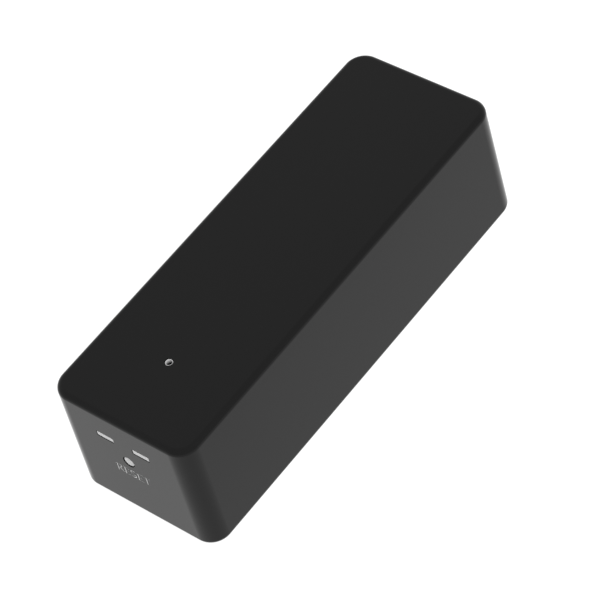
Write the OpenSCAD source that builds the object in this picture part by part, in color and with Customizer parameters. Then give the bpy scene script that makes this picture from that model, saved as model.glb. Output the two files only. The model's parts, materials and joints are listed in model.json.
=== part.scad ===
// Smart infrared blaster: a long black moulded case that stands on four feet.
// The near end, towards -X, has two light windows and a reset button.
// The far end, towards +X, has the power socket. The roof passes infrared light.

/* [Case] */
// Length of the case at its lower rim
case_l = 64.36; // [63.5:0.02:80]
// Width of the case at its lower rim
case_w = 22.56; // [22.2:0.02:28]
// Height of the case from its lower rim to its roof
case_h = 18.8; // [18.4:0.1:24]
// Draft of the case walls in degrees
case_draft = 0.9; // [0.2:0.1:1.2]
// Radius of the upright corners at the roof
corner_r = 2.65; // [2.4:0.05:4]
// Radius of the edges round the roof and round the rim
edge_r = 0.85; // [0.4:0.05:1]
// Thickness of the case walls
wall_t = 1.8; // [1.6:0.1:2]
// Thickness of the roof
roof_t = 1.6; // [1.2:0.1:2]
// Thickness of the rim outside the base cover
lip_t = 1.1; // [1.05:0.05:1.3]

/* [Base cover] */
// Thickness of the base cover's plate
plate_t = 1.5; // [1.2:0.1:2]
// Height of the skirt that centres the base cover in the case
skirt_h = 2; // [1:0.1:3]
// Thickness of the skirt
skirt_t = 0.8; // [0.6:0.1:1.2]
// Diameter of a rubber foot
foot_d = 5; // [4:0.1:5.2]
// How far a foot stands out of the base
foot_proud = 0.6; // [0.3:0.1:1.2]
// Depth of the recess that holds a foot
foot_recess = 0.5; // [0.3:0.05:0.6]

/* [Case screws] */
// Diameter of a screw's shank
screw_d = 1.7; // [1.5:0.1:1.8]
// Length of a screw's shank
screw_l = 12; // [9:0.5:13]
// Diameter of a screw's head
screw_head_d = 3; // [2.6:0.1:3.2]
// Height of a screw's head
screw_head_h = 1.1; // [0.8:0.1:1.3]
// Diameter of the pillars in the case that the screws bite into
pillar_d = 4.2; // [3.6:0.1:4.4]
// Gap between the posts under the board and the back of the power socket
post_gap = 0.3; // [0.2:0.05:1]
// Distance from a pillar's axis to the inner face of the side wall
pillar_side_gap = 2.45; // [2.4:0.05:2.6]

/* [Near end] */
// Depth of the window slots below the roof
slot_drop = 4.65; // [4:0.05:5]
// Distance between the centres of the two window slots
slot_pitch = 5.76; // [5.6:0.02:6]
// Length of a window slot
slot_l = 2.7; // [2.2:0.1:3]
// Height of a window slot
slot_h = 0.85; // [0.7:0.05:1.2]
// Depth of the reset button's axis below the roof
reset_drop = 7.85; // [7.5:0.05:8.2]
// Diameter of the reset button
reset_d = 1.6; // [1.4:0.1:2]
// How far the reset button travels
reset_travel = 0.3; // [0.2:0.05:0.35]

/* [Roof light] */
// Distance of the status light from the near end of the roof
light_inset = 10.6; // [10.4:0.1:13]
// Diameter of the hole in the roof for the status light
light_d = 1.1; // [0.8:0.1:1.6]
// Depth of the light pipe's tip below the roof
light_sunk = 0.1; // [0.05:0.05:0.4]

/* [Main board] */
// Thickness of the main board
board_t = 1; // [0.8:0.1:1.6]
// Gap between the main board and the case walls
board_gap = 0.4; // [0.3:0.05:0.5]

/* [Infrared emitters] */
// Diameter of an emitter's lens
emitter_d = 3; // [2.6:0.1:3.1]
// Height of an emitter over its flange's underside
emitter_h = 5.3; // [4.6:0.1:5.6]
// Lean of the outer emitters towards the side walls in degrees
emitter_lean = 45; // [30:1:50]
// Distance between two rows of emitters
emitter_pitch = 4.8; // [4.6:0.1:4.9]

/* [Power socket] */
// Width of the socket's metal shell
usb_w = 8.94; // [8.9:0.01:9]
// Height of the socket's metal shell
usb_h = 3.26; // [3.2:0.01:3.3]
// Length of the socket
usb_l = 7.3; // [6.8:0.1:7.6]

/* [Radio module] */
// Gap between the radio module and the side walls
radio_side_gap = 1.3; // [0.8:0.1:2]
// Gap between the radio module and the leads and posts at its ends
radio_gap = 0.4; // [0.3:0.1:1]
// Thickness of the radio module's board
radio_t = 0.8; // [0.6:0.1:1]
// Height of the radio module's shield
shield_h = 2.2; // [1.8:0.1:2.6]

/* [Hidden] */
$fn = 64;
over = 0.5;

// Levels and outlines of the case
rim_z = foot_proud;
roof_z = rim_z + case_h;
ceiling_z = roof_z - roof_t;
draft_t = tan(case_draft);
rim_r = corner_r + case_h * draft_t;
axis_x = case_l / 2 - rim_r;
axis_y = case_w / 2 - rim_r;
core_r = 0.6;
function half_l(z) = case_l / 2 - (z - rim_z) * draft_t;
function half_w(z) = case_w / 2 - (z - rim_z) * draft_t;

// Near end: heights of the windows and the button, and the switch behind the button
slot_z = roof_z - slot_drop;
slot_y = slot_pitch / 2;
slot_r = 0.15;
reset_z = roof_z - reset_drop;
reset_gap = 0.08;
reset_sunk = 0.05;
reset_flange_d = 3;
reset_flange_t = 0.7;
reset_flange_gap = 0.1;
reset_edge = 0.15;
switch_w = 4.6;
switch_h = 3.4;
switch_l = 2.2;
switch_axis_h = 1.9;
switch_setback = 1.6;
switch_cover_t = 0.2;
switch_cover_gap = 0.05;
switch_hole_gap = 0.07;
plunger_d = 1.3;
plunger_out = 0.7;
plunger_flange_d = 2.4;
plunger_flange_t = 0.5;
plunger_bore_gap = 0.15;
plunger_bore_l = plunger_flange_t + reset_travel + 0.45;
dome_h = 0.22;
dome_t = 0.08;
dome_inner_share = 0.4;

// Main board
board_top = reset_z - switch_axis_h;
board_z = board_top - board_t;
room_l = half_l(board_top) - wall_t;
room_w = half_w(board_top) - wall_t;
board_x = room_l - board_gap;
board_y = room_w - board_gap;
board_r = 1;
near_x = -board_x;
lead_w = 0.5;
lead_hole_d = 0.9;
lead_tail = 1;

// Power socket
usb_z = board_top + usb_h / 2;
usb_t = 0.3;
usb_sunk = 0.15;
usb_gap = 0.2;
usb_mouth = half_l(usb_z) - usb_sunk;
usb_back = usb_mouth - usb_l;
usb_block_l = 2.2;
tongue_w = 6.69;
tongue_t = 0.7;
tongue_sunk = 0.8;
tongue_gap = 0.03;
contact_w = 0.25;
contact_t = 0.05;
contact_pitch = 0.5;
contact_l = 3.4;
contact_inset = 0.4;
contacts = 12;
leg_w = 0.9;
leg_tail = 0.8;
leg_first = 0.9;
leg_pitch = 3;
leg_gap = 0.2;

// Pillars and posts, clear of the power socket, and screws
post_d = 4.4;
pillar_x = usb_back - post_gap - post_d / 2;
pillar_y = room_w - pillar_side_gap;
gusset_reach = 4.2;
gusset_drop = 3;
pillar_rib_t = 0.8;
pillar_rib_up = 0.8;
thread_gap = 0.02;
shank_gap = 0.2;
head_gap = 0.1;
head_edge = 0.4;
screw_tip_gap = 0.6;
foot_gap = 0.1;
foot_edge = 0.3;
head_z = rim_z + foot_recess + head_gap + screw_head_h;
drive_w = 0.35;
drive_l = 1.7;
drive_h = 0.6;

// Base cover
cover_gap = 0.1;
plate_r = rim_r - lip_t - cover_gap;
plate_edge = 0.2;
skirt_gap = 0.12;
skirt_top = rim_z + plate_t + skirt_h;
skirt_r = rim_r - wall_t - (skirt_top - rim_z) * draft_t - skirt_gap;
stiffener_t = 0.8;
stiffener_share = 0.22;
stiffener_h = stiffener_share * (board_z - radio_t - shield_h - rim_z - plate_t);
stiffeners = 5;

// Windows' light guide
guide_gap = 0.06;
guide_sunk = 0.05;
guide_flank = 0.4;
guide_leg = 1;
guide_bar = 1;
guide_behind = 1.1;
keeper_t = 0.8;
keeper_gap = 0.1;
keeper_w = 2;
keeper_up = 0.7;
led_l = 1.6;
led_w = 0.8;
led_base_h = 0.3;
led_lens_h = 0.35;
led_lens_l = 1.1;
led_gap = 0.3;

// Status light pipe
light_x = light_inset - half_l(roof_z);
pipe_d = 1.8;
pipe_gap = 0.05;
pipe_shoulder = 0.05;
pipe_rim = 0.08;
pipe_bore_share = 0.85;
sleeve_d = 3.6;
sleeve_h = 3.5;

// Infrared receiver
receiver_gap = 0.45;
receiver_w = 5.4;
receiver_t = 3.5;
receiver_h = 6.3;
receiver_up = 0.8;
receiver_eye_d = 3.6;
receiver_eye_up = 3.9;
receiver_cut = 0.5;
receiver_x = light_x + (sleeve_d + receiver_eye_d) / 2 + receiver_gap;

// Infrared emitters, in three rows along the board
flange_d = emitter_d + 0.8;
flange_t = 0.9;
flange_flat = 0.25;
lead_pitch = 2.54;
bend_up = 1.2;
bend_run = 1.2;
emitter_side_gap = 1.1;
lean_reach = (bend_run + emitter_h - emitter_d / 2) * sin(emitter_lean) + emitter_d / 2;
lean_y = room_w - emitter_side_gap - lean_reach;
upright_y = 2.4;
row_leans = [emitter_lean, 0, emitter_lean];
row_ys = [lean_y, upright_y, lean_y];
emitter_gap = 0.8;
emitter_first = receiver_x + receiver_t + emitter_gap + flange_d / 2;
function emitter_x(row) = emitter_first + row * emitter_pitch;

// Radio module
radio_x = [emitter_x(2) + (lead_pitch + lead_w) / 2 + radio_gap, pillar_x - post_d / 2 - radio_gap];
radio_w = 2 * (room_w - radio_side_gap);
radio_z = board_z - radio_t;
antenna_share = 0.3;
antenna_l = antenna_share * (radio_x[1] - radio_x[0]);
shield_margin = 0.8;
shield_x = [radio_x[0] + antenna_l, radio_x[1] - shield_margin];
shield_l = shield_x[1] - shield_x[0];
shield_w = radio_w - 2 * shield_margin;
shield_mid = (shield_x[0] + shield_x[1]) / 2;
shield_t = 0.2;
shield_r = 0.8;
chip_share = 0.38;
chip_w = chip_share * shield_l;
chip_h = 0.9;
crystal_l = 3.2;
crystal_w = 2.5;
crystal_h = 0.7;
pad_d = 0.8;
pad_pitch = 2;
pads = floor(shield_l / pad_pitch) + 1;
trace_t = 0.05;
trace_w = 0.6;
trace_pitch = 1.7;
trace_margin = 1.5;
trace_l = antenna_l - 2 * trace_w;
trace_bars = floor((radio_w - 2 * trace_margin) / trace_pitch) + 1;

// Power and driver parts on the board, behind the emitters
parts_gap = 0.5;
parts_x = emitter_x(2) + flange_d / 2 + parts_gap;
regulator_y = 1.4;
regulator_gap = 0.2;
regulator_l = 6.5;
regulator_w = 3.5;
regulator_h = 1.6;
regulator_up = 0.1;
tab_w = 3;
pin_w = 0.7;
pin_pitch = 2.3;
pin_t = 0.25;
pin_out = 1.6;
pin_up_share = 0.5;
capacitor_edge = 1.6;
can_d = 5;
can_h = 5;
can_neck = 0.2;
can_neck_up = 0.9;
can_neck_h = 0.5;
can_edge = 0.3;
base_w = 5.3;
base_h = 0.6;
base_cut = 1;
capacitor_x = parts_x + base_w / 2;
capacitor_y = board_y - capacitor_edge - base_w / 2;
regulator_x = parts_x + base_w + regulator_gap + pin_out + regulator_w / 2;
transistor_pitch = 3.3;
transistors = 3;
transistor_y = -3.4;
transistor_l = 2.9;
transistor_w = 1.3;
transistor_h = 1;
transistor_pin_w = 0.4;
transistor_pin_out = 0.6;
transistor_pin_t = 0.15;
resistor_y = -5.8;
resistor_l = 2;
resistor_w = 1.25;
resistor_h = 0.5;
resistor_pitch = 1.6;
resistors = 5;
chip_c_l = 1.6;
chip_c_w = 0.8;
chip_c_h = 0.8;
chip_c_pitch = 1.3;
chip_c_y = -0.9;
chip_cs = 3;
chip_end = 0.3;
chip_end_up = 0.03;

// A solid between two corners, each axis given as a pair from low to high
module span(x, y, z) {
    translate([x[0], y[0], z[0]]) cube([x[1] - x[0], y[1] - y[0], z[1] - z[0]]);
}
function about(c, size) = [c - size / 2, c + size / 2];

// A section drawn in Y and Z, run along X
module along_x(x) {
    translate([x[0], 0, 0]) rotate([90, 0, 90]) linear_extrude(x[1] - x[0]) children();
}

// A round rod along X
module rod_x(x, y, z, d) {
    translate([x[0], y, z]) rotate([0, 90, 0]) cylinder(d = d, h = x[1] - x[0]);
}

// Half section of a round body whose lower edge is rounded
module edged_section(r, h, edge) {
    square([r - edge, h]);
    translate([0, edge]) square([r, h - edge]);
    translate([r - edge, edge]) circle(edge);
}

module obround(l, h) {
    square([l - h, h], center = true);
    for (side = [-1, 1]) translate([side * (l - h) / 2, 0]) circle(d = h);
}

module rounded_rect(l, w, r) {
    square([l, w - 2 * r], center = true);
    square([l - 2 * r, w], center = true);
    for (sx = [-1, 1], sy = [-1, 1]) translate([sx * (l / 2 - r), sy * (w / 2 - r)]) circle(r);
}

module at_pillars() {
    for (sx = [-1, 1], sy = [-1, 1]) translate([sx * pillar_x, sy * pillar_y, 0]) children();
}

// A section, drawn outwards from the corners' axes, swept round the case
module case_ring() {
    for (turn = [0:3]) {
        reach = turn % 2 == 0 ? [axis_x, axis_y] : [axis_y, axis_x];
        rotate(turn * 90) {
            translate([reach[0], reach[1], 0]) rotate_extrude(angle = 90) children();
            translate([reach[0], reach[1], 0]) rotate([90, 0, 0])
                linear_extrude(2 * reach[1]) children();
        }
    }
}

// The same, with the middle filled between two heights by a core that reaches into walls and corners
module case_slab(low, high) {
    case_ring() children();
    translate([0, 0, low]) linear_extrude(high - low)
        rounded_rect(2 * (axis_x + core_r), 2 * (axis_y + core_r), core_r);
}

// Outer section of a wall: drafted, with its lower and upper edges rounded
module outer_section() {
    side = edge_r * cos(case_draft);
    rise = edge_r * sin(case_draft);
    low_u = rim_r - edge_r * draft_t - edge_r / cos(case_draft);
    top_u = rim_r - (case_h - edge_r) * draft_t - edge_r / cos(case_draft);
    translate([0, rim_z]) {
        polygon([
            [0, 0], [low_u, 0], [low_u + side, edge_r + rise],
            [top_u + side, case_h - edge_r + rise], [top_u, case_h], [0, case_h]
        ]);
        translate([low_u, edge_r]) circle(edge_r);
        translate([top_u, case_h - edge_r]) circle(edge_r);
    }
}

// Section of the room inside the walls
module room_section() {
    low = rim_r - wall_t;
    high = ceiling_z - rim_z;
    translate([0, rim_z])
        polygon([[0, 0], [low, 0], [low - high * draft_t, high], [0, high]]);
}

// Section of the rebate that the base cover drops into
module rebate_section() {
    translate([0, rim_z - over]) square([rim_r - lip_t, plate_t + over]);
}

// Pillar under the roof that stands on the board, with ribs to the walls
module pillar() {
    translate([0, 0, board_top]) cylinder(d = pillar_d, h = ceiling_z + over - board_top);
}

// A rib to the side wall and a gusset along the roof
module pillar_ribs() {
    for (sx = [-1, 1], sy = [-1, 1]) mirror([sx < 0 ? 1 : 0, 0, 0]) mirror([0, sy < 0 ? 1 : 0, 0]) {
        span(about(pillar_x, pillar_rib_t), [pillar_y, room_w + over],
             [board_top + pillar_rib_up, ceiling_z + over]);
        translate([pillar_x, pillar_y + pillar_rib_t / 2, ceiling_z]) rotate([90, 0, 0])
            linear_extrude(pillar_rib_t) polygon([
                [-gusset_reach, over], [-gusset_reach, 0], [-pillar_d / 2, -gusset_drop],
                [pillar_d / 2, -gusset_drop], [gusset_reach, 0], [gusset_reach, over]
            ]);
    }
}

// Depth of the light guide's bar, and the rib of the case that keeps it there
guide_face = half_l(slot_z) - guide_sunk;
guide_shoulder = half_l(slot_z - slot_h / 2 - guide_flank) - wall_t - reset_flange_gap;
guide_bar_x = [-guide_shoulder, guide_bar - guide_shoulder];
switch_x = near_x + switch_setback;
leg_x = switch_x + switch_l + guide_behind;

module guide_keeper() {
    span([guide_bar_x[1] + keeper_gap, guide_bar_x[1] + keeper_gap + keeper_t],
         about(0, keeper_w), [slot_z - keeper_up, ceiling_z + over]);
}

module light_sleeve() {
    translate([light_x, 0, ceiling_z - sleeve_h]) cylinder(d = sleeve_d, h = sleeve_h + over);
}

// The moulded case: drafted walls, round edges, rim rebate, pillars and openings
module housing() {
    color("#161618") difference() {
        union() {
            difference() {
                case_slab(rim_z, roof_z) outer_section();
                case_slab(rim_z, ceiling_z) room_section();
                case_slab(rim_z - over, rim_z + plate_t) rebate_section();
            }
            at_pillars() pillar();
            pillar_ribs();
            guide_keeper();
            light_sleeve();
        }
        at_pillars() translate([0, 0, board_top - over])
            cylinder(d = screw_d + 2 * thread_gap, h = head_z + screw_l + screw_tip_gap - board_top + over);
        for (side = [-1, 1]) along_x([-case_l / 2 - over, wall_t - half_l(roof_z) + over])
            translate([side * slot_y, slot_z]) rounded_rect(slot_l, slot_h, slot_r);
        rod_x([-case_l / 2 - over, wall_t - half_l(roof_z) + over], 0, reset_z,
              reset_d + 2 * reset_gap);
        translate([light_x, 0, ceiling_z - sleeve_h - over])
            cylinder(d = pipe_d + 2 * pipe_gap, h = sleeve_h + over + pipe_shoulder);
        translate([light_x, 0, ceiling_z - over]) cylinder(d = light_d, h = roof_t + 2 * over);
        along_x([half_l(roof_z) - wall_t - over, case_l / 2 + over])
            translate([0, usb_z]) obround(usb_w + 2 * usb_gap, usb_h + 2 * usb_gap);
    }
}

// Plate, skirt and posts of the base cover
module plate_section() {
    polygon([
        [0, rim_z], [plate_r - plate_edge, rim_z], [plate_r, rim_z + plate_edge],
        [plate_r, rim_z + plate_t], [0, rim_z + plate_t]
    ]);
}

module skirt_section() {
    translate([skirt_r - skirt_t, rim_z + plate_t - over]) square([skirt_t, skirt_h + over]);
}

module stiffener_ribs() {
    reach_x = axis_x + skirt_r - skirt_t / 2;
    reach_y = axis_y + skirt_r - skirt_t / 2;
    levels = [rim_z + plate_t - over, rim_z + plate_t + stiffener_h];
    pitch = 2 * reach_x / (stiffeners + 1);
    for (i = [1:stiffeners])
        span(about(i * pitch - reach_x, stiffener_t), [-reach_y, reach_y], levels);
    for (side = [-1, 1]) span([-reach_x, reach_x], about(side * reach_y / 2, stiffener_t), levels);
}

module base_cover() {
    color("#1b1b1d") difference() {
        union() {
            case_slab(rim_z, rim_z + plate_t) plate_section();
            case_ring() skirt_section();
            stiffener_ribs();
            at_pillars() translate([0, 0, rim_z + plate_t - over])
                cylinder(d = post_d, h = board_z - rim_z - plate_t + over);
        }
        at_pillars() {
            translate([0, 0, rim_z - over]) cylinder(d = foot_d + 2 * foot_gap, h = foot_recess + over);
            translate([0, 0, rim_z]) cylinder(d = screw_head_d + 2 * head_gap, h = head_z - rim_z);
            translate([0, 0, rim_z]) cylinder(d = screw_d + 2 * shank_gap, h = board_z + over);
        }
    }
}

module rubber_feet() {
    color("#2b2b2b") at_pillars() rotate_extrude()
        edged_section(foot_d / 2, foot_proud + foot_recess, foot_edge);
}

module case_screws() {
    color("silver") at_pillars() difference() {
        union() {
            translate([0, 0, head_z - screw_head_h]) rotate_extrude()
                edged_section(screw_head_d / 2, screw_head_h, head_edge);
            translate([0, 0, head_z - over]) cylinder(d = screw_d, h = screw_l + over);
        }
        for (turn = [0, 90]) translate([0, 0, head_z - screw_head_h]) rotate(turn)
            cube([drive_l, drive_w, 2 * drive_h], center = true);
    }
}

// Reset button: a stem through the end wall, a flange behind it and a foot on the plunger
plunger_tip = switch_x - switch_cover_gap - switch_cover_t - plunger_out;
reset_face = reset_sunk - half_l(reset_z);
reset_flange_x = wall_t - half_l(reset_z) + reset_flange_gap;

module reset_button() {
    color("#bdbdbd") {
        translate([reset_face, 0, reset_z]) rotate([0, 90, 0]) rotate_extrude()
            edged_section(reset_d / 2, plunger_tip - reset_face, reset_edge);
        rod_x([reset_flange_x, reset_flange_x + reset_flange_t], 0, reset_z, reset_flange_d);
    }
}

// One arm of the light guide: from a window back over the switch and down to its lamp
module guide_arm_section() {
    low = slot_z - slot_h / 2 - guide_flank;
    high = slot_z + slot_h / 2 + guide_flank;
    back = leg_x + guide_leg / 2;
    foot = board_top + led_base_h + led_lens_h + led_gap;
    polygon([
        [-guide_shoulder, low], [back - guide_leg, low], [back - guide_leg, foot], [back, foot],
        [back, high - guide_leg], [back - guide_leg, high], [-guide_shoulder, high]
    ]);
}

module slot_light_guide() {
    color("#d8d8d8") {
        for (side = [-1, 1]) {
            along_x([-guide_face, over - guide_shoulder]) translate([side * slot_y, slot_z])
                rounded_rect(slot_l - 2 * guide_gap, slot_h - 2 * guide_gap, slot_r - guide_gap);
            translate([0, side * slot_y + slot_l / 2, 0]) rotate([90, 0, 0])
                linear_extrude(slot_l) guide_arm_section();
        }
        span(guide_bar_x, about(0, slot_pitch), about(slot_z, slot_h + 2 * guide_flank));
    }
}

// Light pipe with a bore in its tip, whose wall spreads the light
module roof_light_pipe() {
    foot = board_top + led_base_h + led_lens_h + led_gap;
    tip_d = light_d - 2 * pipe_gap;
    tip_h = roof_t - light_sunk;
    bore_h = pipe_bore_share * tip_h;
    color("#e6e6e6") translate([light_x, 0, 0]) difference() {
        union() {
            translate([0, 0, foot]) cylinder(d = pipe_d, h = ceiling_z - foot);
            translate([0, 0, ceiling_z - over]) cylinder(d = tip_d, h = tip_h + over);
        }
        translate([0, 0, ceiling_z + tip_h - bore_h]) cylinder(d = tip_d - 2 * pipe_rim, h = bore_h + over);
    }
}

// Emitter leads pass through the board, then lean with the lens
module lead_section(lean, y) {
    half = lead_w / 2;
    mitre = half * tan(lean / 2);
    turn_z = board_top + bend_up;
    end_y = y + bend_run * sin(lean);
    end_z = turn_z + bend_run * cos(lean);
    polygon([
        [y - half, board_z - lead_tail], [y + half, board_z - lead_tail],
        [y + half, turn_z - mitre],
        [end_y + half * cos(lean), end_z - half * sin(lean)],
        [end_y - half * cos(lean), end_z + half * sin(lean)],
        [y - half, turn_z + mitre]
    ]);
}

module ir_led_leads() {
    color("#c8c8c8") for (row = [0:2], side = [0, 1], end = [-1, 1])
        mirror([0, side, 0]) along_x(about(emitter_x(row) + end * lead_pitch / 2, lead_w))
            lead_section(row_leans[row], row_ys[row]);
}

module lens_section() {
    square([flange_d / 2, flange_t]);
    square([emitter_d / 2, emitter_h - emitter_d / 2]);
    translate([0, emitter_h - emitter_d / 2]) intersection() {
        circle(d = emitter_d);
        square(emitter_d);
    }
}

// Emitter number 0 to 5: two in each row, one to each side
module ir_led(number) {
    row = floor(number / 2);
    lean = row_leans[row];
    color("#3d3850", 0.9) mirror([0, number % 2, 0])
        translate([emitter_x(row), row_ys[row] + bend_run * sin(lean),
                   board_top + bend_up + bend_run * cos(lean)])
        rotate([-lean, 0, 0]) difference() {
            rotate_extrude() lens_section();
            span([flange_d / 2 - flange_flat, flange_d], about(0, 2 * flange_d), [-over, flange_t + over]);
        }
}

module at_receiver() {
    translate([receiver_x, 0, board_top + receiver_up]) children();
}

module ir_receiver() {
    color("#1c1a24") at_receiver() {
        linear_extrude(receiver_h) polygon([
            [0, -receiver_w / 2], [receiver_t - receiver_cut, -receiver_w / 2],
            [receiver_t, receiver_cut - receiver_w / 2], [receiver_t, receiver_w / 2 - receiver_cut],
            [receiver_t - receiver_cut, receiver_w / 2], [0, receiver_w / 2]
        ]);
        translate([0, 0, receiver_eye_up]) sphere(d = receiver_eye_d);
    }
}

module ir_receiver_leads() {
    color("#c8c8c8") at_receiver() for (pin = [-1:1])
        span(about(receiver_t / 2, lead_w), about(pin * lead_pitch * 3 / 4, lead_w),
             [-receiver_up - board_t - lead_tail, 0]);
}

// A small lamp on the board, its long side across the board
module chip_led(x, y) {
    color("#f2eed8") {
        span(about(x, led_w), about(y, led_l), [board_top, board_top + led_base_h]);
        span(about(x, led_w), about(y, led_lens_l), [board_top, board_top + led_base_h + led_lens_h]);
    }
}
module status_led() { chip_led(light_x, 0); }
module slot_led_left() { chip_led(leg_x, slot_y); }
module slot_led_right() { chip_led(leg_x, -slot_y); }

// Switch behind the reset button
module switch_body() {
    color("#262626") difference() {
        span([switch_x, switch_x + switch_l], about(0, switch_w), [board_top, board_top + switch_h]);
        rod_x([switch_x - over, switch_x + plunger_bore_l], 0, reset_z,
              plunger_flange_d + 2 * plunger_bore_gap);
    }
}

module switch_cover() {
    front = switch_x - switch_cover_gap;
    top = board_top + switch_h + switch_cover_gap;
    color("silver") difference() {
        union() {
            span([front - switch_cover_t, front], about(0, switch_w), [board_top + switch_cover_t, top]);
            span([front - switch_cover_t, switch_x + switch_l], about(0, switch_w * dome_inner_share),
                 [top, top + switch_cover_t]);
            for (side = [-1, 1]) mirror([0, side < 0 ? 1 : 0, 0])
                span([front - switch_cover_t, switch_x + switch_l],
                     [switch_w / 2 + switch_cover_gap, switch_w / 2 + switch_cover_gap + switch_cover_t],
                     about(reset_z, switch_h * dome_inner_share));
            span([front - switch_cover_t, front],
                 about(0, switch_w + 2 * switch_cover_gap + 2 * switch_cover_t),
                 about(reset_z, switch_h * dome_inner_share));
            span([front - switch_cover_t, front], about(0, switch_w * dome_inner_share),
                 [board_top + switch_cover_t, top + switch_cover_t]);
        }
        rod_x([front - switch_cover_t - over, front + over], 0, reset_z, plunger_d + 2 * switch_hole_gap);
    }
}

module switch_plunger() {
    color("#111111") {
        rod_x([plunger_tip, switch_x + plunger_flange_t], 0, reset_z, plunger_d);
        rod_x([switch_x, switch_x + plunger_flange_t], 0, reset_z, plunger_flange_d);
    }
}

// The snap dome is drawn as it lies when it is pressed
module switch_dome() {
    rim = plunger_flange_d / 2;
    flat = rim * dome_inner_share;
    color("#b8a060") translate([switch_x + plunger_bore_l, 0, reset_z]) rotate([0, -90, 0])
        rotate_extrude() polygon([
            [0, dome_h - dome_t], [flat, dome_h - dome_t], [rim - dome_t, 0], [rim, 0],
            [flat, dome_h], [0, dome_h]
        ]);
}

module switch_terminals() {
    color("#c8c8c8") for (side = [-1, 1]) mirror([0, side < 0 ? 1 : 0, 0])
        span(about(switch_x + switch_l / 2, pin_w), [switch_w / 2, switch_w / 2 + pin_w],
             [board_top, board_top + pin_t]);
}

// Main board with its drilled holes
module main_board() {
    color("#14532d") difference() {
        translate([0, 0, board_z]) linear_extrude(board_t) rounded_rect(2 * board_x, 2 * board_y, board_r);
        at_pillars() translate([0, 0, board_z - over])
            cylinder(d = screw_d + 2 * shank_gap, h = board_t + 2 * over);
        for (row = [0:2], side = [-1, 1], end = [-1, 1])
            board_hole(emitter_x(row) + end * lead_pitch / 2, side * row_ys[row]);
        for (pin = [-1:1])
            board_hole(receiver_x + receiver_t / 2, pin * lead_pitch * 3 / 4);
        for (side = [-1, 1], i = [0, 1])
            translate([usb_back + leg_first + i * leg_pitch, side * (usb_w - usb_t) / 2, board_z - over])
            linear_extrude(board_t + 2 * over) obround(leg_w + 2 * leg_gap, usb_t + 2 * leg_gap);
    }
}

module board_hole(x, y) {
    translate([x, y, board_z - over]) cylinder(d = lead_hole_d, h = board_t + 2 * over);
}

// Radio module under the board, its antenna towards the near end
module radio_board() {
    first = shield_mid - pad_pitch * (pads - 1) / 2;
    color("#1d3557") difference() {
        span(radio_x, about(0, radio_w), [radio_z, board_z]);
        for (side = [-1, 1], i = [0:pads - 1])
            translate([first + i * pad_pitch, side * radio_w / 2, radio_z - over])
            cylinder(d = pad_d, h = radio_t + 2 * over);
    }
}

module radio_shield() {
    color("silver") translate([shield_mid, 0, radio_z - shield_h]) difference() {
        linear_extrude(shield_h) rounded_rect(shield_l, shield_w, shield_r);
        translate([0, 0, shield_t]) linear_extrude(shield_h)
            rounded_rect(shield_l - 2 * shield_t, shield_w - 2 * shield_t, shield_r - shield_t);
    }
}

module radio_chip() {
    color("#222222") span(about(shield_mid, chip_w), about(0, chip_w), [radio_z - chip_h, radio_z]);
}

module radio_crystal() {
    y = (chip_w / 2 + shield_w / 2 - shield_t) / 2;
    color("#d0c8a0")
        span(about(shield_mid, crystal_l), about(y, crystal_w), [radio_z - crystal_h, radio_z]);
}

module radio_antenna() {
    start = radio_x[0] + trace_w;
    first = -trace_pitch * (trace_bars - 1) / 2;
    color("#b87333") for (i = [0:trace_bars - 1]) {
        y = first + i * trace_pitch;
        span([start, start + trace_l], about(y, trace_w), [radio_z - trace_t, radio_z]);
        if (i < trace_bars - 1)
            span(i % 2 == 0 ? [start, start + trace_w] : [start + trace_l - trace_w, start + trace_l],
                 [y, y + trace_pitch], [radio_z - trace_t, radio_z]);
    }
}

// Power socket at the far end
module usb_shell() {
    color("silver") {
        along_x([usb_back, usb_mouth]) translate([0, usb_z]) difference() {
            obround(usb_w, usb_h);
            obround(usb_w - 2 * usb_t, usb_h - 2 * usb_t);
        }
        for (side = [-1, 1], i = [0, 1]) translate([0, side * (usb_w - usb_t) / 2, 0])
            span(about(usb_back + leg_first + i * leg_pitch, leg_w), about(0, usb_t),
                 [board_z - leg_tail, usb_z]);
    }
}

module usb_tongue() {
    color("#1a1a1a") {
        along_x([usb_back, usb_back + usb_block_l]) translate([0, usb_z])
            obround(usb_w - 2 * usb_t - 2 * tongue_gap, usb_h - 2 * usb_t - 2 * tongue_gap);
        along_x([usb_back, usb_mouth - tongue_sunk]) translate([0, usb_z])
            square([tongue_w, tongue_t], center = true);
    }
}

module usb_contacts() {
    tip = usb_mouth - tongue_sunk - contact_inset;
    color("#d4af37") for (face = [-1, 1], i = [0:contacts - 1])
        span([tip - contact_l, tip], about((i - (contacts - 1) / 2) * contact_pitch, contact_w),
             about(usb_z + face * (tongue_t + contact_t) / 2, contact_t));
}

// Voltage regulator with its tab and three pins
module at_regulator() {
    translate([regulator_x, regulator_y, board_top]) children();
}

module regulator() {
    color("#202020") at_regulator()
        span(about(0, regulator_w), about(0, regulator_l), [regulator_up, regulator_up + regulator_h]);
}

module bent_pin(reach, out, w, high, t) {
    span([reach, reach + out], about(0, w), [0, t]);
    span([reach, reach + out / 2], about(0, w), [high - t, high]);
    span([reach + out / 2 - t, reach + out / 2], about(0, w), [0, high]);
}

module regulator_leads() {
    high = regulator_up + regulator_h * pin_up_share;
    color("#c8c8c8") at_regulator() {
        mirror([1, 0, 0]) bent_pin(regulator_w / 2, pin_out, tab_w, high, pin_t);
        for (pin = [-1:1]) translate([0, pin * pin_pitch, 0])
            bent_pin(regulator_w / 2, pin_out, pin_w, high, pin_t);
    }
}

// Bulk capacitor: a crimped can on a plastic base
module at_capacitor() {
    translate([capacitor_x, capacitor_y, board_top]) children();
}

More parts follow.
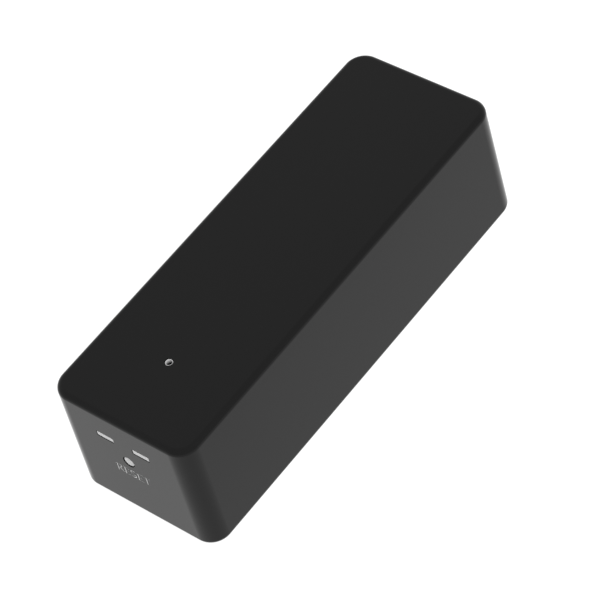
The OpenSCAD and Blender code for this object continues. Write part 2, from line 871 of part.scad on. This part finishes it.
module capacitor_base() {
    half = base_w / 2;
    color("#151515") at_capacitor() linear_extrude(base_h) polygon([
        [-half, -half], [half - base_cut, -half], [half, base_cut - half],
        [half, half - base_cut], [half - base_cut, half], [-half, half]
    ]);
}

module capacitor_can() {
    color("#a9adb0") at_capacitor() translate([0, 0, base_h]) rotate_extrude() {
        square([can_d / 2 - can_neck, can_h]);
        square([can_d / 2, can_neck_up]);
        translate([0, can_neck_up + can_neck_h])
            square([can_d / 2, can_h - can_neck_up - can_neck_h - can_edge]);
        translate([0, can_h - can_edge]) square([can_d / 2 - can_edge, can_edge]);
        translate([can_d / 2 - can_edge, can_h - can_edge]) circle(can_edge);
    }
}

// Transistors that drive the emitters
module at_transistors() {
    for (i = [0:transistors - 1])
        translate([parts_x + transistor_l / 2 + i * transistor_pitch, transistor_y, board_top]) children();
}

module driver_transistors() {
    color("#202020") at_transistors()
        span(about(0, transistor_l), about(0, transistor_w), [transistor_pin_t, transistor_h]);
}

module transistor_leads() {
    reach = transistor_w / 2 + transistor_pin_out;
    color("#c8c8c8") at_transistors() {
        span(about(0, transistor_pin_w), [0, reach], [0, transistor_pin_t]);
        for (side = [-1, 1]) translate([side * transistor_l / 3, 0, 0])
            span(about(0, transistor_pin_w), [-reach, 0], [0, transistor_pin_t]);
    }
}

// A chip part with plated ends, its long side across the board
module chip(l, w, h) {
    span(about(0, w), about(0, l), [0, h]);
    for (side = [-1, 1]) translate([0, side * (l - chip_end) / 2, 0])
        span(about(0, w + 2 * chip_end_up), about(0, chip_end), [0, h + chip_end_up]);
}

module chip_resistors() {
    color("#303030") for (i = [0:resistors - 1])
        translate([parts_x + resistor_w / 2 + i * resistor_pitch, resistor_y, board_top])
        chip(resistor_l, resistor_w, resistor_h);
}

module chip_capacitors() {
    color("#a08060") for (i = [0:chip_cs - 1])
        translate([parts_x + chip_c_w / 2 + i * chip_c_pitch, chip_c_y, board_top])
        chip(chip_c_l, chip_c_w, chip_c_h);
}

housing();
base_cover();
rubber_feet();
case_screws();
reset_button();
slot_light_guide();
roof_light_pipe();
main_board();
switch_body();
switch_cover();
switch_plunger();
switch_dome();
switch_terminals();
status_led();
slot_led_left();
slot_led_right();
ir_receiver();
ir_receiver_leads();
ir_led(0);  // ir_led_1
ir_led(1);  // ir_led_2
ir_led(2);  // ir_led_3
ir_led(3);  // ir_led_4
ir_led(4);  // ir_led_5
ir_led(5);  // ir_led_6
ir_led_leads();
radio_board();
radio_shield();
radio_chip();
radio_crystal();
radio_antenna();
usb_shell();
usb_tongue();
usb_contacts();
regulator();
regulator_leads();
capacitor_can();
capacitor_base();
driver_transistors();
transistor_leads();
chip_resistors();
chip_capacitors();
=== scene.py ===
import json
import math

import bmesh
import bpy
from mathutils import Matrix, Vector


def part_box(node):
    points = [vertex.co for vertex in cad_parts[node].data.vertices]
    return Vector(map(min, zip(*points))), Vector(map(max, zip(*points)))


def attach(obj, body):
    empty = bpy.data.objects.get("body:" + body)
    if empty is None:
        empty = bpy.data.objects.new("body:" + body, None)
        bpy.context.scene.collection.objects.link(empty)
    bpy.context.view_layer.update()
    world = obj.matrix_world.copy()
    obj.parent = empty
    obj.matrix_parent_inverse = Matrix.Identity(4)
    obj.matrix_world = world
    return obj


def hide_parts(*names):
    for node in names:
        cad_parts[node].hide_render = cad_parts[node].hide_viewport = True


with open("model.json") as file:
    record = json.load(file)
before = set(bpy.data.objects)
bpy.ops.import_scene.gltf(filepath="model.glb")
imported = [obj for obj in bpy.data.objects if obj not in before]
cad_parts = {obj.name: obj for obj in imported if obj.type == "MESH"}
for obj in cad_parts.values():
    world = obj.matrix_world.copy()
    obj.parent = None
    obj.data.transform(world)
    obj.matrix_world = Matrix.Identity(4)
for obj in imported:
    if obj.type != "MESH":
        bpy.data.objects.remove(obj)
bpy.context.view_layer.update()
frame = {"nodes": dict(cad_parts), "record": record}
nodes = frame["nodes"]
MM = 0.001

# Sizes of the case and the button's stem, from the case's box and the wall's own radii and angles
shell_low, shell_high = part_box("housing")
rim_z, roof_z = shell_low.z, shell_high.z
draft_angle = math.radians(0.9)
draft = math.tan(draft_angle)
edge_r = 0.85 * MM
corner_r = 2.8 * MM
wall_t = 1.8 * MM
roof_t = 1.6 * MM
stem_r = 0.8 * MM
lip_t = 1.1 * MM
plate_t = 1.5 * MM
lip_round = 0.06 * MM
ceiling_z = roof_z - roof_t
half_rim_l = shell_high.x + edge_r * draft
half_rim_w = shell_high.y + edge_r * draft


def half_l(z):
    """Half the case's length at a height."""
    return half_rim_l - (z - rim_z) * draft


def half_w(z):
    """Half the case's width at a height."""
    return half_rim_w - (z - rim_z) * draft


def middle(node):
    """Middle of a CAD node's box."""
    low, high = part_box(node)
    return (low + high) / 2


# Meshes

def mesh_object(name, points, faces):
    """A new object from points and faces, with its normals turned outwards."""
    mesh = bpy.data.meshes.new(name)
    mesh.from_pydata([tuple(p) for p in points], [], faces)
    work = bmesh.new()
    work.from_mesh(mesh)
    bmesh.ops.remove_doubles(work, verts=work.verts, dist=1e-7)
    bmesh.ops.recalc_face_normals(work, faces=work.faces)
    work.to_mesh(mesh)
    work.free()
    obj = bpy.data.objects.new(name, mesh)
    bpy.context.scene.collection.objects.link(obj)
    return obj


def loft(name, rings):
    """Joins rings of equally many points, one after the other, and closes both ends."""
    count = len(rings[0])
    points = [p for ring in rings for p in ring]
    faces = []
    for i in range(len(rings) - 1):
        for j in range(count):
            k = (j + 1) % count
            faces.append((i * count + j, i * count + k, (i + 1) * count + k, (i + 1) * count + j))
    faces.append(tuple(range(count)))
    faces.append(tuple((len(rings) - 1) * count + j for j in range(count)))
    return mesh_object(name, points, faces)


def arc(cx, cy, radius, start, stop, steps):
    """Points on an arc, angles in degrees."""
    turns = [math.radians(start + (stop - start) * i / steps) for i in range(steps + 1)]
    return [(cx + radius * math.cos(t), cy + radius * math.sin(t)) for t in turns]


def rounded(length, width, radius, steps=8):
    """Outline of a rectangle with round corners."""
    cx, cy = length / 2 - radius, width / 2 - radius
    corners = [(cx, cy, 0), (-cx, cy, 90), (-cx, -cy, 180), (cx, -cy, 270)]
    return [point for x, y, turn in corners for point in arc(x, y, radius, turn, turn + 90, steps)]


def case_outline(inset, z):
    """The case's outline at a height, moved in from its drafted wall."""
    outline = rounded(2 * (half_l(z) - inset), 2 * (half_w(z) - inset), corner_r - inset, 24)
    return [Vector((x, y, z)) for x, y in outline]


def obround(length, height, steps=16):
    """Outline of a slot with round ends, lying along its first axis."""
    reach = (length - height) / 2
    return arc(reach, 0, height / 2, -90, 90, steps) + arc(-reach, 0, height / 2, 90, 270, steps)


def tube_ring(radius, steps=48):
    """Outline of a circle."""
    return [(radius * math.cos(math.tau * i / steps), radius * math.sin(math.tau * i / steps))
            for i in range(steps)]


def turned(name, profile, place, along_x=False, steps=48):
    """A round body from its half profile of radius and height, standing on place."""
    rings = []
    for radius, height in profile:
        if along_x:
            rings.append([place + Vector((height, y, z)) for y, z in tube_ring(radius, steps)])
        else:
            rings.append([place + Vector((x, y, height)) for x, y in tube_ring(radius, steps)])
    return loft(name, rings)


def slab(name, low, high):
    """A block between two corners, with its edges left square for joining."""
    corners = ((low.x, low.y), (high.x, low.y), (high.x, high.y), (low.x, high.y))
    rings = [[Vector((x, y, z)) for x, y in corners] for z in (low.z, high.z)]
    return loft(name, rings)


def combine(body, others, how):
    """Joins others to body, or cuts them out of it, and removes them."""
    for other in others:
        step = body.modifiers.new(how, "BOOLEAN")
        step.operation = how
        step.solver = "EXACT"
        step.object = other
    bpy.context.view_layer.update()
    graph = bpy.context.evaluated_depsgraph_get()
    mesh = bpy.data.meshes.new_from_object(body.evaluated_get(graph))
    body.modifiers.clear()
    old = body.data
    body.data = mesh
    bpy.data.meshes.remove(old)
    for other in others:
        bpy.data.objects.remove(other)
    return body


def shade(obj, angle=32):
    """Smooth shading that stays crisp over sharp edges, with flat faces kept flat."""
    mesh = obj.data
    work = bmesh.new()
    work.from_mesh(mesh)
    for face in work.faces:
        face.smooth = True
    for edge in work.edges:
        if len(edge.link_faces) == 2:
            edge.smooth = edge.calc_face_angle(0) < math.radians(angle)
    work.to_mesh(mesh)
    work.free()
    weigh = obj.modifiers.new("weighted normals", "WEIGHTED_NORMAL")
    weigh.mode = "FACE_AREA"
    weigh.weight = 100
    weigh.keep_sharp = True
    return obj


# The case

EDGE_STEPS = 20


def wall_rings():
    """Rings of the case's skin: down the inside to the rim, and up the outside to the roof."""
    rings = [(wall_t, ceiling_z), (wall_t, rim_z + plate_t), (lip_t, rim_z + plate_t), (lip_t, rim_z)]
    for z_mid, start, stop in ((rim_z + edge_r, -math.pi / 2, draft_angle),
                               (roof_z - edge_r, draft_angle, math.pi / 2)):
        for i in range(EDGE_STEPS + 1):
            turn = start + (stop - start) * i / EDGE_STEPS
            up = edge_r * math.sin(turn)
            inset = edge_r / math.cos(draft_angle) - edge_r * math.cos(turn) - up * draft
            rings.append((inset, z_mid + up))
    return [case_outline(inset, z) for inset, z in rings]


def quarter(steps=6):
    """Angles through a quarter turn."""
    return [math.pi / 2 * i / steps for i in range(steps + 1)]


def flare():
    """How far out and how much wider a cutter is, where it rounds the edge of its hole."""
    return [(lip_round * (math.sin(t) - 1), lip_round * (1 - math.cos(t))) for t in quarter()]


def slot_cutter(name, face_x, facing, place, outline):
    """A cutter for a hole in an end wall, flared at the face so that its edge is rounded."""
    rings = []
    for out, grow in [(-1.5 * wall_t, 0)] + flare() + [(wall_t / 2, lip_round)]:
        ring = []
        for y, z in outline(grow):
            here = place.z + z
            ring.append(Vector((facing * (face_x(here) + out), place.y + y, here)))
        rings.append(ring)
    return loft(name, rings)


def roof_cutter(name, place, radius):
    """A cutter for a round hole in the roof, flared in the same way."""
    profile = [(radius, -2 * roof_t)] + [(radius + grow, out) for out, grow in flare()]
    profile.append((radius + lip_round, roof_t / 2))
    return turned(name, profile, Vector((place.x, place.y, roof_z)))


def case_fittings():
    """Pillars, ribs, gussets and the light pipe's sleeve under the roof, and the bores in them."""
    board_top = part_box("main_board")[1].z
    sink = 0.3 * MM
    top = ceiling_z + sink
    light = middle("roof_light_pipe")
    feet_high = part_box("rubber_feet")[1]
    foot_r = 2.5 * MM
    px, py = feet_high.x - foot_r, feet_high.y - foot_r
    pillar_r, rib, reach, drop = 2.1 * MM, 0.4 * MM, 4.2 * MM, 3 * MM
    screw_r, screw_top = 0.87 * MM, 14.9 * MM
    sleeve_r, sleeve_drop, pipe_r, pipe_drop = 1.8 * MM, 3.5 * MM, 0.95 * MM, 4 * MM
    pipe_over = 0.05 * MM
    room_w = half_w(board_top) - wall_t
    made = []
    for sx in (-1, 1):
        for sy in (-1, 1):
            at = Vector((sx * px, sy * py, 0))
            made.append(turned("pillar", [(pillar_r, board_top), (pillar_r, top)], at))
            ends = sorted((at.y, sy * (room_w + sink)))
            made.append(slab("rib", Vector((at.x - rib, ends[0], board_top + 2 * rib)),
                             Vector((at.x + rib, ends[1], top))))
            shape = [(-reach, top), (-reach, ceiling_z), (-pillar_r, ceiling_z - drop),
                     (pillar_r, ceiling_z - drop), (reach, ceiling_z), (reach, top)]
            made.append(loft("gusset", [[Vector((at.x + x, at.y + side, z)) for x, z in shape]
                                        for side in (-rib, rib)]))
    pipe_at = Vector((light.x, light.y, 0))
    made.append(turned("sleeve", [(sleeve_r, ceiling_z - sleeve_drop), (sleeve_r, top)], pipe_at))
    bores = [turned("bore", [(screw_r, board_top - 2 * sink), (screw_r, screw_top)],
                    Vector((sx * px, sy * py, 0))) for sx in (-1, 1) for sy in (-1, 1)]
    bores.append(turned("bore", [(pipe_r, ceiling_z - pipe_drop), (pipe_r, ceiling_z + pipe_over)],
                        pipe_at))
    return made, bores


def build_case():
    """The housing: walls and roof in one skin, its fittings, and every opening."""
    shell = loft("case_shell", wall_rings())
    made, cuts = case_fittings()

    slot_l, slot_h, slot_r = 2.7 * MM, 0.85 * MM, 0.15 * MM
    slot_y, slot_z = 2.88 * MM, roof_z - 4.65 * MM
    for side in (-1, 1):
        cuts.append(slot_cutter("slot", half_l, -1, Vector((0, side * slot_y, slot_z)),
                                lambda grow: rounded(slot_l + 2 * grow, slot_h + 2 * grow, slot_r + grow)))

    button_gap = 0.08 * MM
    cuts.append(slot_cutter("hole", half_l, -1, middle("reset_button"),
                            lambda grow: tube_ring(stem_r + button_gap + grow)))

    light_hole_r = 0.55 * MM
    cuts.append(roof_cutter("light hole", middle("roof_light_pipe"), light_hole_r))

    socket_low, socket_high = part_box("usb_shell")
    socket_half_h, socket_gap = 1.63 * MM, 0.2 * MM
    socket_w = socket_high.y - socket_low.y
    cuts.append(slot_cutter("socket", half_l, 1, Vector((0, 0, socket_high.z - socket_half_h)),
                            lambda grow: obround(socket_w + 2 * (socket_gap + grow),
                                                 2 * (socket_half_h + socket_gap + grow), 24)))
    combine(shell, made, "UNION")
    combine(shell, cuts, "DIFFERENCE")
    return shade(shell)


def build_button():
    """The reset button: a round stem with a soft edge and a faint dish, and a flange inside the wall."""
    low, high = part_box("reset_button")
    at = Vector((low.x, (low.y + high.y) / 2, (low.z + high.z) / 2))
    edge, dish = 0.15 * MM, 0.03 * MM
    flange_r, flange_t, flange_gap = 1.5 * MM, 0.7 * MM, 0.1 * MM
    flange_at = wall_t + flange_gap - half_l(at.z) - low.x
    profile = [(0.05 * stem_r, dish), (0.5 * stem_r, dish * 0.6), (stem_r - 1.5 * edge, 0)]
    profile += [(stem_r - edge + edge * math.sin(t), edge * (1 - math.cos(t))) for t in quarter()]
    profile += [(stem_r, flange_at), (flange_r, flange_at), (flange_r, flange_at + flange_t),
                (stem_r, flange_at + flange_t), (stem_r, high.x - low.x)]
    return shade(turned("reset_cap", profile, at, along_x=True))


def build_light_tip():
    """The light pipe: a round body, and a bored tip that fills the hole in the roof."""
    low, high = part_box("roof_light_pipe")
    at = Vector(((low.x + high.x) / 2, (low.y + high.y) / 2, low.z))
    body_r, tip_r, bore_r, bore_h, edge = 0.9 * MM, 0.5 * MM, 0.42 * MM, 1.5 * MM, 0.03 * MM
    shoulder = ceiling_z - low.z
    tip = high.z - low.z
    bore_end = tip - bore_h
    profile = [(body_r - edge, 0), (body_r, edge), (body_r, shoulder), (tip_r, shoulder)]
    profile += [(tip_r - edge + x, tip - edge + z) for x, z in arc(0, 0, edge, 0, 90, 4)]
    profile += [(bore_r + edge + x, tip - edge + z) for x, z in arc(0, 0, edge, 90, 180, 4)]
    profile += [(bore_r * math.cos(t), bore_end + bore_r / 2 * (1 - math.sin(t))) for t in quarter()[:-1]]
    profile.append((0.02 * bore_r, bore_end))
    return shade(turned("light_pipe_tip", profile, at))


def straight(x, y, x_end, y_end, width):
    """A straight stroke of a letter: its middle line and its width at each point."""
    return [(x, y, width), (x_end, y_end, width)]


def curved(x, y, radius, start, stop, thin, thick):
    """A round stroke that is thickest half way along."""
    steps = 12
    places = arc(x, y, radius, start, stop, steps)
    return [(px, py, thin + (thick - thin) * math.sin(math.pi * i / steps))
            for i, (px, py) in enumerate(places)]


def letter_strokes(letter):
    """Strokes of a capital one unit high, with thick stems, thin bars and small serifs."""
    stem, hair, serif, tick = 0.066, 0.012, 0.1, 0.12
    top, mid, foot = 1 - hair / 2, 0.5, hair / 2
    left = 0.18
    if letter == "E":
        right, tongue = 0.64, 0.48
        return [straight(left, 0, left, 1, stem), straight(0, top, right, top, hair),
                straight(0, foot, right, foot, hair), straight(left, mid, tongue, mid, hair),
                straight(right, top, right, top - tick, hair),
                straight(right, foot, right, foot + tick, hair),
                straight(tongue, mid - tick / 2, tongue, mid + tick / 2, hair)]
    if letter == "T":
        centre, right = 0.33, 0.66
        return [straight(centre, 0, centre, 1, stem), straight(0, top, right, top, hair),
                straight(0, top, 0, top - tick, hair), straight(right, top, right, top - tick, hair),
                straight(centre - serif, foot, centre + serif, foot, hair)]
    if letter == "R":
        bowl_x, bowl_r = 0.36, (top - mid) / 2
        leg_x, toe, leg = 0.66, (0.6, 0.76), 0.8 * stem
        return [straight(left, 0, left, 1, stem), straight(0, top, bowl_x, top, hair),
                straight(left - serif, foot, left + serif, foot, hair),
                curved(bowl_x, mid + bowl_r, bowl_r, 90, -90, hair, stem),
                straight(left, mid, bowl_x, mid, hair),
                straight(bowl_x, mid, leg_x, foot, leg), straight(toe[0], foot, toe[1], foot, hair)]
    centre, upper_r, lower_r = 0.28, 0.22, 0.25
    return [curved(centre, top - upper_r, upper_r, 20, 270, hair, stem),
            curved(centre, foot + lower_r, lower_r, 90, -160, hair, stem)]


def stroke_outline(stroke):
    """Outline round a stroke, from its middle line and widths."""
    sides = [[], []]
    for i, (x, y, width) in enumerate(stroke):
        before, after = stroke[max(i - 1, 0)], stroke[min(i + 1, len(stroke) - 1)]
        run = Vector((after[0] - before[0], after[1] - before[1])).normalized() * width / 2
        sides[0].append((x - run.y, y + run.x))
        sides[1].append((x + run.y, y - run.x))
    return sides[0] + sides[1][::-1]


def build_lettering():
    """The word RESET under the button, printed on the end wall in plain capitals with serifs."""
    height, width, ink = 1.3 * MM, 5.5 * MM, 0.004 * MM
    y_mid, z_mid = -0.01 * MM, roof_z - 10.26 * MM
    advance = {"R": 0.8, "E": 0.76, "S": 0.66, "T": 0.66}
    strokes, start = [], 0
    for letter in "RESET":
        for stroke in letter_strokes(letter):
            strokes.append([(start + x, y) for x, y in stroke_outline(stroke)])
        start += advance[letter]
    points, faces = [], []
    for outline in strokes:
        first, count = len(points), len(outline)
        for out in (-ink, ink):
            for x, y in outline:
                z = z_mid + (y - 0.5) * height
                points.append((-half_l(z) - out, y_mid - (x / start - 0.5) * width, z))
        faces.append([first + i for i in range(count)])
        faces.append([first + count + i for i in range(count)][::-1])
        for i in range(count):
            k = (i + 1) % count
            faces.append([first + i, first + count + i, first + count + k, first + k])
    return mesh_object("reset_lettering", points, faces)


# Materials

class Look:
    """Builds one node material in real millimetres."""

    def __init__(self, name, color, roughness, metallic=0.0, ior=1.46):
        self.mat = bpy.data.materials.new(name)
        self.mat.use_nodes = True
        self.tree = self.mat.node_tree
        self.shader = self.tree.nodes["Principled BSDF"]
        self.shader.inputs["Base Color"].default_value = (*color, 1)
        self.shader.inputs["Roughness"].default_value = roughness
        self.shader.inputs["Metallic"].default_value = metallic
        self.shader.inputs["IOR"].default_value = ior
        self.place = self.tree.nodes.new("ShaderNodeTexCoord").outputs["Object"]

    def link(self, a, b):
        self.tree.links.new(a, b)

    def noise(self, per_mm, detail=3.0, stretch=(1, 1, 1)):
        """Noise with so many patches in a millimetre."""
        mapping = self.tree.nodes.new("ShaderNodeMapping")
        mapping.inputs["Scale"].default_value = [s * per_mm / MM for s in stretch]
        self.link(self.place, mapping.inputs["Vector"])
        noise = self.tree.nodes.new("ShaderNodeTexNoise")
        noise.inputs["Scale"].default_value = 1
        noise.inputs["Detail"].default_value = detail
        self.link(mapping.outputs["Vector"], noise.inputs["Vector"])
        return noise.outputs["Fac"]

    def spread(self, value, low, high, start=0.3, end=0.7):
        """Stretches a value to go from low to high."""
        node = self.tree.nodes.new("ShaderNodeMapRange")
        node.inputs["From Min"].default_value = start
        node.inputs["From Max"].default_value = end
        node.inputs["To Min"].default_value = low
        node.inputs["To Max"].default_value = high
        self.link(value, node.inputs["Value"])
        return node.outputs["Result"]

    def tint(self, value, dark, light):
        node = self.tree.nodes.new("ShaderNodeMix")
        node.data_type = "RGBA"
        node.inputs["A"].default_value = (*dark, 1)
        node.inputs["B"].default_value = (*light, 1)
        self.link(value, node.inputs["Factor"])
        self.link(node.outputs["Result"], self.shader.inputs["Base Color"])

    def rough(self, value, low, high):
        self.link(self.spread(value, low, high), self.shader.inputs["Roughness"])

    def bump(self, value, depth_mm, strength=1.0):
        node = self.tree.nodes.new("ShaderNodeBump")
        node.inputs["Distance"].default_value = depth_mm * MM
        node.inputs["Strength"].default_value = strength
        self.link(value, node.inputs["Height"])
        self.link(node.outputs["Normal"], self.shader.inputs["Normal"])


def grey(value):
    return (value, value, value)


def gloss_case():
    """Polished black moulding. Its index is below that of plastic, so that white all round
    doesn't turn it grey."""
    weak_gloss = 1.26
    look = Look("case gloss", grey(0.0015), 0.05, ior=weak_gloss)
    look.rough(look.noise(0.08, 4), 0.035, 0.06)
    look.bump(look.noise(0.35, 2), 0.0006, 0.25)
    return look.mat


def moulded(name, dark, light, roughness, grain_per_mm, depth_mm):
    """Moulded plastic, rubber, ceramic or print, with a fine grain."""
    look = Look(name, light, roughness)
    grain = look.noise(grain_per_mm, 5)
    look.tint(grain, dark, light)
    look.rough(look.noise(grain_per_mm / 6), roughness - 0.06, roughness + 0.06)
    look.bump(grain, depth_mm, 0.6)
    return look.mat


def light_pipe():
    """Milky moulding, its base colour pale at the tip and darker down its bore: painted shade in the hole.
    """
    look = Look("pipe clear painted shade", grey(0.3), 0.35)
    split = look.tree.nodes.new("ShaderNodeSeparateXYZ")
    look.link(look.place, split.inputs[0])
    # Painted shade: the colour goes from pale 0.2 mm below the roof to near black 0.75 mm down, standing in
    # for the shade in the bore.
    painted_bore_shade = look.spread(split.outputs["Z"], 0, 1, roof_z - 0.75 * MM, roof_z - 0.2 * MM)
    look.tint(painted_bore_shade, grey(0.01), grey(0.33))
    look.rough(look.noise(6), 0.3, 0.4)
    return look.mat


def sheet_metal(name, dark, light, roughness, stretch):
    """Metal with streaks that run along its short stretch."""
    look = Look(name, light, roughness, metallic=1.0)
    streaks = look.noise(3, 4, stretch)
    look.tint(streaks, dark, light)
    look.rough(streaks, roughness - 0.06, roughness + 0.08)
    look.bump(look.noise(1.5), 0.003, 0.3)
    return look.mat


def clear_tint(name, color, roughness, through):
    """Tinted epoxy that lets a share of the light through."""
    look = Look(name, color, roughness, ior=1.5)
    look.shader.inputs["Transmission Weight"].default_value = through
    look.rough(look.noise(1.5), roughness - 0.03, roughness + 0.05)
    look.bump(look.noise(4), 0.001, 0.3)
    return look.mat


def board(name, dark, light):
    """Solder mask over the weave of a laminate."""
    look = Look(name, light, 0.3)
    weave = look.noise(2.5, 1, (1, 1, 0.2))
    look.tint(weave, dark, light)
    look.rough(look.noise(0.7), 0.25, 0.38)
    look.bump(weave, 0.006, 0.4)
    return look.mat


def make_materials():
    steel, tin = (0.62, 0.62, 0.61), (0.72, 0.72, 0.7)
    return {
        "case_gloss": gloss_case(),
        "base_matte": moulded("base matte", grey(0.012), grey(0.02), 0.55, 6, 0.02),
        "foot_rubber": moulded("foot rubber", grey(0.03), grey(0.045), 0.8, 9, 0.012),
        "screw_steel": sheet_metal("screw steel", grey(0.42), grey(0.55), 0.32, (1, 1, 1)),
        "button_grey": moulded("button grey", grey(0.315), grey(0.355), 0.42, 4, 0.004),
        "window_milky": moulded("window milky", grey(0.335), grey(0.375), 0.3, 1.2, 0.002),
        "pipe_clear": light_pipe(),
        "board_green": board("board green", (0.008, 0.06, 0.025), (0.012, 0.09, 0.035)),
        "board_blue": board("board blue", (0.006, 0.02, 0.07), (0.01, 0.03, 0.1)),
        "moulded_black": moulded("component black", grey(0.014), grey(0.024), 0.6, 8, 0.008),
        "stamped_steel": sheet_metal("stamped steel", (0.5, 0.5, 0.49), steel, 0.3, (0.2, 1, 1)),
        "socket_steel": sheet_metal("socket steel", (0.52, 0.52, 0.51), (0.66, 0.66, 0.65), 0.24,
                                    (0.15, 1, 1)),
        "spring_brass": sheet_metal("spring brass", (0.5, 0.4, 0.2), (0.65, 0.53, 0.3), 0.3, (1, 1, 1)),
        "tinned_pins": sheet_metal("tinned pins", (0.58, 0.58, 0.56), tin, 0.28, (1, 1, 1)),
        "led_white": moulded("lamp white", (0.68, 0.64, 0.5), (0.78, 0.75, 0.62), 0.4, 3, 0.002),
        "receiver_dark": clear_tint("receiver dark", (0.03, 0.02, 0.04), 0.12, 0.0),
        "emitter_lens": clear_tint("emitter lens", (0.12, 0.1, 0.2), 0.06, 0.6),
        "copper_trace": sheet_metal("copper trace", (0.6, 0.3, 0.16), (0.75, 0.4, 0.24), 0.35, (1, 1, 1)),
        "contact_gold": sheet_metal("contact gold", (0.75, 0.55, 0.2), (0.88, 0.67, 0.3), 0.22, (0.3, 1, 1)),
        "can_aluminium": sheet_metal("can aluminium", (0.55, 0.56, 0.57), (0.7, 0.71, 0.72), 0.3,
                                     (1, 1, 0.2)),
        "chip_black": moulded("chip black", grey(0.02), grey(0.04), 0.35, 6, 0.003),
        "chip_tan": moulded("chip tan", (0.28, 0.19, 0.11), (0.4, 0.28, 0.18), 0.5, 6, 0.003),
    }


def wear(obj, material):
    """Makes the material the only one on the object."""
    obj.data.materials.clear()
    obj.data.materials.append(material)


# Studio: floor, light and camera

def sees_background(tree):
    """1 for camera rays, and for glossy and transmission rays, so that gloss and glass show it too."""
    path = tree.nodes.new("ShaderNodeLightPath").outputs
    seen = path["Is Camera Ray"]
    for kind in ("Glossy", "Transmission"):
        node = tree.nodes.new("ShaderNodeMath")
        node.operation = "MAXIMUM"
        tree.links.new(seen, node.inputs[0])
        tree.links.new(path["Is %s Ray" % kind], node.inputs[1])
        seen = node.outputs[0]
    return seen


def floor_material():
    """White save for the object's shadow, to the camera and in what gloss and glass show."""
    mat = bpy.data.materials.new("studio floor")
    mat.use_nodes = True
    tree = mat.node_tree
    tree.nodes.clear()

    def matt(level):
        node = tree.nodes.new("ShaderNodeBsdfDiffuse")
        node.inputs["Color"].default_value = (*grey(level), 1)
        return node.outputs[0]

    white = 0.86
    glow = tree.nodes.new("ShaderNodeEmission")
    glow.inputs["Strength"].default_value = white
    shown = tree.nodes.new("ShaderNodeAddShader")
    tree.links.new(matt(0.2), shown.inputs[0])
    tree.links.new(glow.outputs[0], shown.inputs[1])
    surface = tree.nodes.new("ShaderNodeMixShader")
    tree.links.new(sees_background(tree), surface.inputs[0])
    tree.links.new(matt(0.8), surface.inputs[1])
    tree.links.new(shown.outputs[0], surface.inputs[2])
    tree.links.new(surface.outputs[0], tree.nodes.new("ShaderNodeOutputMaterial").inputs["Surface"])
    return mat


def make_floor():
    reach, thickness = 3, 0.01
    obj = slab("studio_floor", Vector((-reach, -reach, -thickness)), Vector((reach, reach, 0)))
    obj.data.materials.append(floor_material())


def unit(azimuth, elevation):
    """Direction from an azimuth, counted from +X towards +Y, and an elevation, in degrees."""
    a, e = math.radians(azimuth), math.radians(elevation)
    return Vector((math.cos(a) * math.cos(e), math.sin(a) * math.cos(e), math.sin(e)))


def make_world():
    """Soft even light; the backdrop is white to the camera, in gloss and through glass."""
    world = bpy.data.worlds.new("studio")
    bpy.context.scene.world = world
    world.use_nodes = True
    tree = world.node_tree
    tree.nodes.clear()
    soft = 0.44
    strength = tree.nodes.new("ShaderNodeMapRange")
    strength.inputs["To Min"].default_value = soft
    strength.inputs["To Max"].default_value = 1
    tree.links.new(sees_background(tree), strength.inputs["Value"])
    glow = tree.nodes.new("ShaderNodeBackground")
    glow.inputs["Color"].default_value = (1, 1, 1, 1)
    tree.links.new(strength.outputs["Result"], glow.inputs["Strength"])
    tree.links.new(glow.outputs[0], tree.nodes.new("ShaderNodeOutputWorld").inputs["Surface"])


def make_lamp(name, direction, distance, size, power):
    """A round lamp over the object, left out of reflections; metres and watts."""
    data = bpy.data.lights.new(name, "AREA")
    data.shape = "DISK"
    data.size = size
    data.energy = power
    lamp = bpy.data.objects.new(name, data)
    lamp.location = direction * distance + Vector((0, 0, roof_z / 2))
    lamp.rotation_euler = direction.to_track_quat("Z", "Y").to_euler()
    lamp.visible_glossy = False
    bpy.context.scene.collection.objects.link(lamp)


def make_camera():
    """The photo's camera, fitted to the object's outline. Its lengths are in widths of the roof."""
    roof_w = 2 * half_w(roof_z)
    view = unit(-129.1984, 49.2214)
    distance = 16.0589 * roof_w
    roll = math.radians(-17.0496)
    aim = Vector((-0.0034, -0.0664, -0.0462)) * roof_w + Vector((0, 0, (rim_z + roof_z) / 2))
    data = bpy.data.cameras.new("camera")
    data.lens = 167.1
    data.sensor_width = 36
    data.clip_start = 0.01
    camera = bpy.data.objects.new("camera", data)
    turn = view.to_track_quat("Z", "Y").to_matrix() @ Matrix.Rotation(roll, 3, "Z")
    camera.matrix_world = Matrix.Translation(aim + view * distance) @ turn.to_4x4()
    bpy.context.scene.collection.objects.link(camera)
    bpy.context.scene.camera = camera


# The object
make_camera()
looks = make_materials()
slots = {part["node"]: part["material_slot"] for part in frame["record"]["subparts"]}
for node, obj in nodes.items():
    wear(obj, looks[slots[node]])

for build, node, body in (
    (build_case, "housing", "case"),
    (build_button, "reset_button", "reset_button"),
    (build_light_tip, "roof_light_pipe", "case"),
):
    piece = build()
    wear(piece, looks[slots[node]])
    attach(piece, body)
    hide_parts(node)

lettering = build_lettering()
wear(lettering, moulded("print", grey(0.4), grey(0.46), 0.5, 8, 0.001))
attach(lettering, "case")

make_floor()
make_world()
make_lamp("key", unit(-129, 45), 0.5, 0.35, 3.2)
make_lamp("fill", unit(-62, 50), 0.6, 0.4, 3)
bpy.context.scene.view_settings.view_transform = "Standard"
